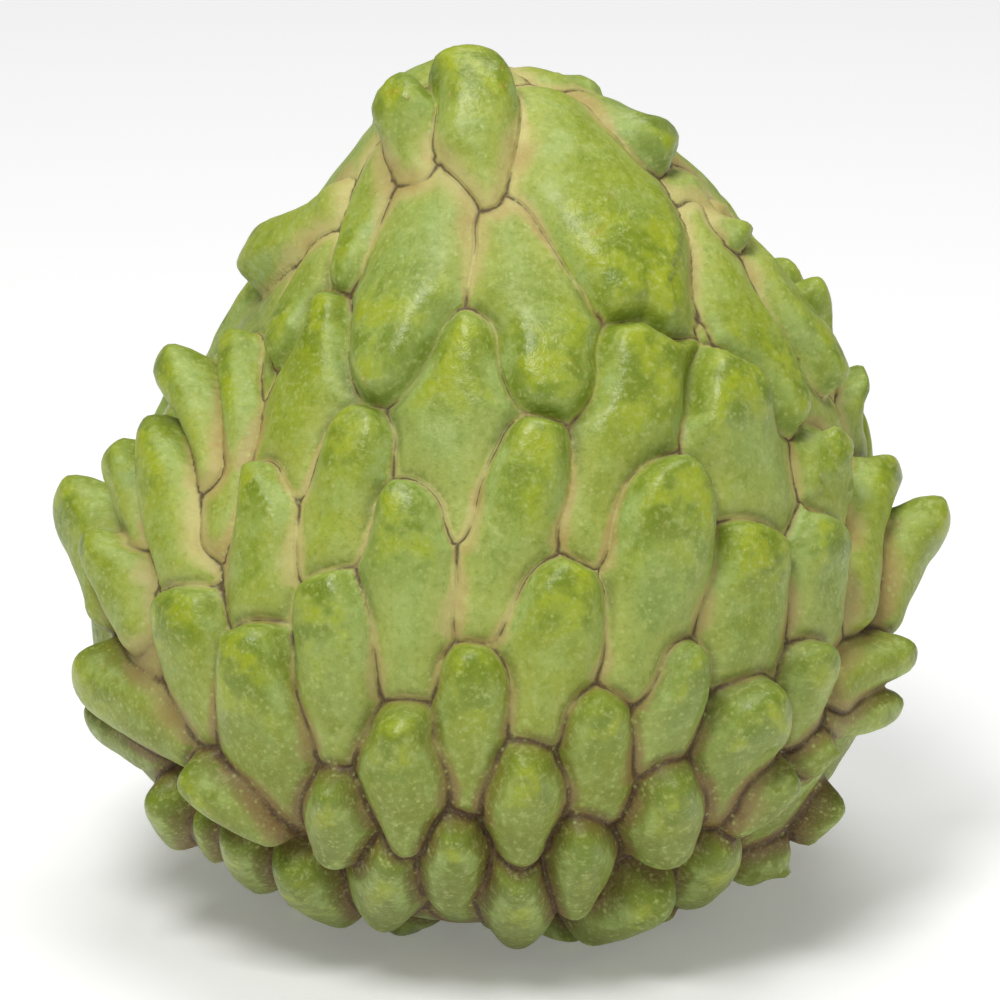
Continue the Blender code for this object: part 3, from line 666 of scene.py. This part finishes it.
def rindSurface(smooth, points, faces, carpels):
    # the rind's points, and what the finish reads at each of them
    turn, along = smooth.nearest(points)
    first, claim, lead, place = showing(points, carpels, relief["blend"])
    edges, distance, ownPlace, otherPlace, junction, beside = seamLook(points, faces, first, lead, place)
    own = {trait: column(carpels, trait)[first] for trait in ("lift", "fall", "nod", "heading")}
    own["roundOff"] = (column(carpels, "shoulder") * column(carpels, "halves")[:, 1])[first]
    raised, clearOfSeam = backHeight(own, claim, lead, place, distance, points[:, 2])
    lean = own["nod"] * np.maximum(raised, 0.0) * clearOfSeam * (1.0 - place) ** 2
    for height, size in unevenness:
        lumps = np.array([noise.noise(Vector(point / size)) for point in points])
        raised = raised + height * lumps * clearOfSeam
    rind = points + smooth.normals(turn, along) * raised[:, None] + own["heading"] * lean[:, None]
    tones = np.random.default_rng(spiral["seed"]).uniform(0.0, 1.0, (2, len(carpels)))
    look = {
        "place": softened(place, edges, lookRounds),
        "ownPlace": softened(ownPlace, edges, lookRounds),
        "otherPlace": softened(otherPlace, edges, lookRounds),
        "junction": junction,
        "tone": softened(tones[0][first], edges, lookRounds),
        "hue": softened(tones[1][first], edges, lookRounds),
        "scar": (column(carpels, "name") == "scar")[first].astype(float),
    }
    numbers = sides(beside, len(carpels))[first]
    for layer in range(seamLayers):
        sign = 1.0 - 2.0 * ((numbers >> layer) & 1)
        look[f"seam{layer}"] = sign * distance
    return rind, look


def fitToFrame(rind):
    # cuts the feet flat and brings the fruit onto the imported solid, just inside its box
    floor = rind[:, 2].min() + body["footCut"]
    rind[:, 2] = np.maximum(rind[:, 2], floor) - floor
    low = rind.min(axis=0)
    high = rind.max(axis=0)
    boxLow, boxHigh = (np.array(corner) / mm for corner in cadBox)
    scale = ((boxHigh - boxLow) / (high - low)).min()
    middle = (low + high) / 2.0
    target = (boxLow + boxHigh) / 2.0
    rind[:, :2] = (rind[:, :2] - middle[:2]) * scale + target[:2]
    rind[:, 2] = rind[:, 2] * scale + boxLow[2]
    return rind


def makeFruit():
    smooth = SmoothBody()
    carpels = allCarpels(smooth)
    turn, along, faces = lattice(smooth, latticeSpacing)
    rind, look = rindSurface(smooth, smooth.points(turn, along), faces, carpels)
    rind = fitToFrame(rind)
    mesh = bpy.data.meshes.new("fruit")
    mesh.from_pydata((rind * mm).tolist(), [], faces)
    for name, values in look.items():
        mesh.attributes.new(name, "FLOAT", "POINT").data.foreach_set("value", values.astype(np.float32))
    mesh.shade_smooth()
    mesh.update()
    fruit = bpy.data.objects.new("fruit", mesh)
    bpy.context.collection.objects.link(fruit)
    print("fruit", len(carpels), "carpels", len(faces), "triangles")
    return fruit


class Wire:
    # a socket's value, so that shader maths reads as arithmetic

    def __init__(self, finish, socket):
        self.finish = finish
        self.socket = socket

    def __add__(self, other):
        return self.finish.maths("ADD", self, other)

    def __radd__(self, other):
        return self.finish.maths("ADD", other, self)

    def __sub__(self, other):
        return self.finish.maths("SUBTRACT", self, other)

    def __rsub__(self, other):
        return self.finish.maths("SUBTRACT", other, self)

    def __mul__(self, other):
        return self.finish.maths("MULTIPLY", self, other)

    def __rmul__(self, other):
        return self.finish.maths("MULTIPLY", other, self)


class Finish:
    # a material and the means to build its nodes

    def __init__(self, name):
        self.material = bpy.data.materials.new(name)
        self.material.use_nodes = True
        self.tree = self.material.node_tree
        self.shader = self.tree.nodes["Principled BSDF"]

    def feed(self, socket, value):
        if isinstance(value, Wire):
            self.tree.links.new(value.socket, socket)
        else:
            socket.default_value = value

    def node(self, kind, settings=None, inputs=None, output=0):
        made = self.tree.nodes.new(kind)
        for key, value in (settings or {}).items():
            setattr(made, key, value)
        for key, value in (inputs or {}).items():
            self.feed(made.inputs[key], value)
        return Wire(self, made.outputs[output])

    def maths(self, operation, *values):
        return self.node("ShaderNodeMath", {"operation": operation}, dict(enumerate(values)))

    def attribute(self, name):
        return self.node("ShaderNodeAttribute", {"attribute_name": name}, output="Fac")

    def fade(self, value, low, high):
        # 0 at low and 1 at high, smooth between
        return self.node("ShaderNodeMapRange", {"interpolation_type": "SMOOTHSTEP"},
                         {"Value": value, "From Min": low, "From Max": high})

    def mix(self, share, first, second):
        # a colour: the first at share 0 and the second at share 1
        inputs = {0: share, 6: first, 7: second}
        return self.node("ShaderNodeMix", {"data_type": "RGBA"}, inputs, output=2)

    def noise(self, sizeMm, detail, rough, offset):
        place = self.node("ShaderNodeTexCoord", output="Object")
        if offset:
            place = self.node("ShaderNodeVectorMath", {"operation": "ADD"}, {0: place, 1: (offset,) * 3})
        inputs = {"Vector": place, "Scale": 1.0 / (sizeMm * mm), "Detail": detail, "Roughness": rough}
        return self.node("ShaderNodeTexNoise", inputs=inputs)

    def dots(self, sizeMm, full, none):
        # 1 within small round dots, one to a cell of this size
        place = self.node("ShaderNodeTexCoord", output="Object")
        inputs = {"Vector": place, "Scale": 1.0 / (sizeMm * mm)}
        away = self.node("ShaderNodeTexVoronoi", inputs=inputs, output="Distance")
        return self.fade(away, none, full)


rindLook = {
    "waxGreen": (0.30, 0.372, 0.058, 1.0),
    "leafGreen": (0.15, 0.23, 0.012, 1.0),
    "tipGreen": (0.155, 0.22, 0.002, 1.0),
    "limeGreen": (0.34, 0.40, 0.006, 1.0),
    # olive for low down, darkened as painted shade towards the bottom
    "oliveAndShadeGreen": (0.13, 0.145, 0.012, 1.0),
    "bloom": (0.35, 0.455, 0.125, 1.0),
    "rootGreen": (0.43, 0.45, 0.085, 1.0),
    "seamTan": (0.59, 0.50, 0.20, 1.0),
    "seamPink": (0.46, 0.31, 0.11, 1.0),
    # the brown of the seams, also laid into the low gaps as painted shade in part
    "seamBrownAndShade": (0.15, 0.075, 0.022, 1.0),
    "creaseDark": (0.075, 0.032, 0.015, 1.0),
    # painted shade on the root under a neighbour's nose
    "underNoseShadeGreen": (0.085, 0.095, 0.018, 1.0),
    "speckle": (0.48, 0.54, 0.17, 1.0),
    "rust": (0.34, 0.17, 0.02, 1.0),
    "scarBrown": (0.20, 0.12, 0.055, 1.0),
    "waxRoughness": 0.35,
    "bloomRoughness": 0.60,
    "coatWeight": 0.08,
    "coatRoughness": 0.30,
    "glow": 0.12,
    "glowReach": (0.5, 0.8, 0.2),
    "glowScale": 0.002,
    "specular": 0.45,
    "bumpStrength": 0.5,
    "bumpHeight": 0.0006,
}

# How much of each colour goes over the one before it.
rindShares = {
    "driftLime": 0.55,
    "driftSage": 0.40,
    # the rind's own olive low down, with painted shade towards the bottom
    "lowOliveAndShade": 0.80,
    "noseLime": 0.85,
    "noseDeep": 0.90,
    "rust": 0.4,
    "apexRust": 0.4,
    "rimBloom": 0.60,
    "cloudBloom": 0.55,
    "tipCap": 0.65,
    "paleRoot": 0.5,
    "lowBand": 0.75,
    # painted shade on the root under a neighbour's nose
    "underNoseShade": 0.55,
    # brown in the low gaps: the rind's own brown, partly painted shade in the hollows between knobs
    "gap": 0.85,
    "crease": 0.9,
    "specks": 0.50,
    "darkFreckles": 0.40,
    "paleFreckles": 0.35,
    "grain": 0.25,
}

# The patterns of the rind: size in millimetres, detail, roughness, and how far each is moved.
rindNoise = {
    "broad": (22.0, 2.0, 0.5, 0.0),
    "blotch": (5.0, 4.0, 0.55, 3.1),
    "mottle": (1.8, 4.0, 0.6, 5.9),
    "fine": (0.8, 3.0, 0.6, 7.7),
    "grain": (0.34, 3.0, 0.6, 1.7),
    "patch": (3.4, 2.5, 0.5, 13.7),
    "rusty": (6.0, 3.0, 0.6, 11.3),
    "cloudy": (3.2, 4.0, 0.6, 17.9),
    "drift": (3.4, 3.0, 0.5, 23.1),
    "broken": (4.6, 3.0, 0.5, 29.3),
}
speckSize = 0.95  # millimetres between the pale specks


def readRind(made):
    # what the colours follow: the seams, the place along each carpel, the height and the patterns
    names = ("place", "tone", "hue", "junction", "ownPlace", "otherPlace", "scar")
    at = SimpleNamespace(**{name: made.attribute(name) for name in names})
    at.seam = made.maths("ABSOLUTE", made.attribute("seam0"))
    for layer in range(1, seamLayers):
        other = made.maths("ABSOLUTE", made.attribute(f"seam{layer}"))
        at.seam = made.maths("MINIMUM", at.seam, other)
    at.ownRoot = made.fade(at.ownPlace, 0.30, 0.80)
    at.otherRoot = made.fade(at.otherPlace, 0.30, 0.80)
    at.flank = made.fade(made.maths("MINIMUM", at.ownPlace, at.otherPlace), 0.04, 0.26)
    spot = made.node("ShaderNodeTexCoord", output="Object")
    at.height = made.node("ShaderNodeSeparateXYZ", inputs={0: spot}, output="Z")
    at.upper = made.fade(at.height, 0.012, 0.050)
    at.lower = 1.0 - at.upper
    for name, pattern in rindNoise.items():
        setattr(at, name, made.noise(*pattern))
    at.centre = made.fade(at.seam + 1.4 * (at.mottle - 0.5), 0.9, 2.8)
    at.nose = at.centre * made.fade(at.place + 0.6 * (at.blotch - 0.5), 0.70, 0.12)
    width = (0.38 + at.ownRoot * (0.26 + 1.2 * at.otherRoot)) * (0.20 + 1.6 * at.blotch)
    at.band = 1.0 - made.fade(at.seam + 0.5 * (at.fine - 0.5), 0.30 * width, 1.5 * width)
    at.corner = (1.0 - made.fade(at.junction, 0.5, 3.4)) * made.fade(at.drift, 0.34, 0.60)
    wanted = 0.12 * at.lower + 0.25 * at.corner + 0.15 * at.flank
    at.shown = made.fade(at.broken + wanted, 0.54, 0.80)
    return at


def groundGreen(made, at):
    # waxy green to leaf green, with the tone of the carpel, lime and sage drifts, and a darker olive low
    # down: the rind's own olive, darkened further as painted shade towards the bottom
    leaf = made.fade(0.8 * at.blotch + 0.2 * at.tone + 0.6 * at.mottle, 0.60, 1.00)
    green = made.mix(leaf, rindLook["waxGreen"], rindLook["leafGreen"])
    lime = made.fade(at.broad + 0.3 * at.hue, 0.48, 0.78)
    green = made.mix(rindShares["driftLime"] * lime, green, rindLook["limeGreen"])
    sage = made.fade(at.broad + 0.3 * at.hue, 0.66, 0.44)
    green = made.mix(rindShares["driftSage"] * sage, green, rindLook["bloom"])
    return made.mix(rindShares["lowOliveAndShade"] * at.lower, green, rindLook["oliveAndShadeGreen"])


def colourNoses(made, at, green):
    # noses are saturated, in lime and deep green patches, with a little rust, more of it at the apex
    lime = at.nose * made.fade(at.patch, 0.42, 0.64)
    green = made.mix(rindShares["noseLime"] * lime, green, rindLook["limeGreen"])
    deep = at.nose * made.fade(at.patch, 0.56, 0.36)
    green = made.mix(rindShares["noseDeep"] * deep, green, rindLook["tipGreen"])
    apex = made.fade(at.height, 0.074, 0.094)
    rust = made.fade(at.rusty, 0.60, 0.72) * made.fade(at.mottle, 0.42, 0.6)
    rustShare = rindShares["rust"] + rindShares["apexRust"] * apex
    return made.mix(rustShare * rust * at.nose, green, rindLook["rust"])


def addBloom(made, at, green):
    # a thin pale film along the rim of each back and in clouds over its flanks, and a deep green
    # cap round the tip
    rim = at.seam - 0.9 * at.lower
    edge = made.fade(rim, 0.25, 0.8) * made.fade(rim, 2.4, 1.0) * (1.0 - 0.6 * at.ownRoot)
    edge = edge * made.fade(at.place, 0.02, 0.16) * made.fade(at.mottle, 0.30, 0.55)
    cloud = made.fade(at.cloudy, 0.44, 0.66) * (1.0 - 0.8 * at.nose)
    film = rindShares["rimBloom"] * edge + (rindShares["cloudBloom"] - 0.40 * at.lower) * cloud
    green = made.mix(film, green, rindLook["bloom"])
    cap = made.fade(at.place, 0.12, 0.0) * made.fade(rim, 2.2, 0.5)
    return made.mix(rindShares["tipCap"] * cap, green, rindLook["tipGreen"])


def addBands(made, at, green):
    # roots are paler, and cream, tan and pink bands run beside the seams, brown ones low down
    root = at.upper * at.ownRoot * made.fade(at.seam, 4.5, 0.8)
    green = made.mix(rindShares["paleRoot"] * root, green, rindLook["rootGreen"])
    pink = made.fade(at.blotch + 0.3 * at.tone, 0.50, 0.85)
    bandColour = made.mix(pink, rindLook["seamTan"], rindLook["seamPink"])
    bandColour = made.mix(rindShares["lowBand"] * at.lower, bandColour, rindLook["seamBrownAndShade"])
    strength = 0.12 + 0.42 * at.flank + 0.22 * at.ownRoot
    return made.mix(at.band * made.maths("MAXIMUM", strength, 0.8 * at.corner), green, bandColour)


def darkenSeams(made, at, colour):
    # painted shade: the root under a neighbour's nose is darkened as if in that nose's shadow, and low
    # down the gaps are brown, the rind's own brown deepened in part by painted shade
    underNoseShade = made.fade(at.otherPlace, 0.30, 0.05) * made.fade(at.ownPlace, 0.15, 0.45)
    underNoseShade = underNoseShade * made.fade(at.seam, 1.5, 0.2)
    colour = made.mix(rindShares["underNoseShade"] * underNoseShade, colour, rindLook["underNoseShadeGreen"])
    # low down the gaps between the knobs are brown: the rind's own brown, and in part painted shade in
    # the hollows
    gap = made.fade(at.seam + 1.2 * (at.blotch - 0.5), 1.70, 0.10)
    colour = made.mix(rindShares["gap"] * at.lower * gap, colour, rindLook["seamBrownAndShade"])
    # a thin dark line comes and goes along the seam, fuller low down and where three carpels meet
    reach = 0.05 + 0.30 * at.drift * (1.15 - at.upper) + (0.10 + 0.12 * at.lower) * at.corner
    line = 1.0 - made.fade(at.seam, 0.1 * reach, 2.0 * reach)
    return made.mix(rindShares["crease"] * line * at.shown, colour, rindLook["creaseDark"])


def addSpecks(made, at, colour):
    # round pale specks in drifts, small darker and paler freckles, and the brown stem scar
    specks = made.dots(speckSize, 0.12, 0.34) * made.fade(at.mottle, 0.40, 0.60)
    colour = made.mix(rindShares["specks"] * specks, colour, rindLook["speckle"])
    clear = 1.0 - 0.8 * at.band
    dark = clear * made.fade(at.fine, 0.52, 0.72)
    colour = made.mix(rindShares["darkFreckles"] * dark, colour, rindLook["leafGreen"])
    pale = clear * made.fade(at.fine, 0.48, 0.32)
    colour = made.mix(rindShares["paleFreckles"] * pale, colour, rindLook["speckle"])
    colour = made.mix(rindShares["grain"] * made.fade(at.grain, 0.50, 0.70), colour, rindLook["bloom"])
    return made.mix(at.scar, colour, rindLook["scarBrown"])


def rindFinish():
    made = Finish("Rind")
    at = readRind(made)
    colour = colourNoses(made, at, groundGreen(made, at))
    colour = addBands(made, at, addBloom(made, at, colour))
    colour = addSpecks(made, at, darkenSeams(made, at, colour))
    # noses shine like wax, and the rest is dull with bloom
    wax, dull = rindLook["waxRoughness"], rindLook["bloomRoughness"]
    shine = made.fade(at.nose + 0.5 * at.centre, 0.2, 1.1)
    roughness = dull - (dull - wax) * shine + 0.08 * (at.fine - 0.5)
    # shallow bumps, and a groove along the seams
    groove = made.fade(at.seam, 0.45, 0.0) * (0.3 + 0.7 * at.shown)
    bumps = 0.55 * at.mottle + 0.35 * at.fine + 0.15 * at.grain - groove
    surface = made.node("ShaderNodeBump", inputs={
        "Strength": rindLook["bumpStrength"], "Distance": rindLook["bumpHeight"], "Height": bumps,
    })
    made.feed(made.shader.inputs["Base Color"], colour)
    made.feed(made.shader.inputs["Roughness"], roughness)
    made.feed(made.shader.inputs["Normal"], surface)
    settings = {
        "Subsurface Weight": "glow", "Subsurface Radius": "glowReach", "Subsurface Scale": "glowScale",
        "Specular IOR Level": "specular", "Coat Weight": "coatWeight", "Coat Roughness": "coatRoughness",
    }
    for socket, value in settings.items():
        made.shader.inputs[socket].default_value = rindLook[value]
    return made.material


fruit = makeFruit()
fruit.data.materials.append(rindFinish())
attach(fruit, "root")
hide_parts("atemoya")
print("rind finished")

stage = {
    "floorSize": 8.0,
    "floorColour": (0.90, 0.90, 0.90, 1.0),
    "floorRoughness": 0.9,
    "floorGlow": 0.20,
    "worldColour": (1.0, 1.0, 1.0, 1.0),
    "worldStrength": 0.20,
}


def makeStage():
    bpy.ops.object.select_all(action="DESELECT")
    bpy.ops.mesh.primitive_plane_add(size=stage["floorSize"], location=(0.0, 0.0, 0.0))
    floor = bpy.context.object
    floor.name = "floor"
    made = Finish("Floor")
    made.shader.inputs["Base Color"].default_value = stage["floorColour"]
    made.shader.inputs["Roughness"].default_value = stage["floorRoughness"]
    made.shader.inputs["Emission Color"].default_value = stage["floorColour"]
    made.shader.inputs["Emission Strength"].default_value = stage["floorGlow"]
    floor.data.materials.append(made.material)
    world = bpy.data.worlds.new("studio")
    world.use_nodes = True
    back = world.node_tree.nodes["Background"]
    back.inputs["Color"].default_value = stage["worldColour"]
    back.inputs["Strength"].default_value = stage["worldStrength"]
    bpy.context.scene.world = world


lamps = {
    "key": {"place": (-0.20, -0.45, 0.80), "size": 0.30, "power": 4.9},
    "fill": {"place": (0.65, -0.55, 0.35), "size": 0.70, "power": 0.9},
    "top": {"place": (0.05, 0.20, 0.90), "size": 0.50, "power": 3.6},
}
lampTarget = (0.0, 0.0, 0.05)


def aim(thing, target):
    thing.rotation_euler = (Vector(target) - thing.location).to_track_quat("-Z", "Y").to_euler()


def makeLamps():
    for name, lamp in lamps.items():
        light = bpy.data.lights.new(name, "AREA")
        light.energy = lamp["power"]
        light.size = lamp["size"]
        thing = bpy.data.objects.new(name, light)
        thing.location = lamp["place"]
        bpy.context.collection.objects.link(thing)
        aim(thing, lampTarget)


# What the camera looks at and how far away it stands, in metres. It tilts as the front view does.
view = {
    "target": (-0.0001, 0.0, 0.0458),
    "distance": 0.9,
    "sensor": 36.0,
    "pixels": 1000.0,
    "clipStart": 0.01,
}


def makeCamera():
    tilt = frontView["elevation"]
    away = Vector((0.0, -math.cos(tilt), math.sin(tilt)))
    lens = bpy.data.cameras.new("camera")
    lens.sensor_width = view["sensor"]
    lens.lens = view["sensor"] * view["distance"] / mm * frontView["scale"] / view["pixels"]
    lens.clip_start = view["clipStart"]
    camera = bpy.data.objects.new("camera", lens)
    camera.location = Vector(view["target"]) + away * view["distance"]
    bpy.context.collection.objects.link(camera)
    aim(camera, view["target"])
    bpy.context.scene.camera = camera


makeStage()
makeLamps()
makeCamera()
bpy.context.scene.view_settings.view_transform = "Standard"
print("stage, lamps and camera placed")
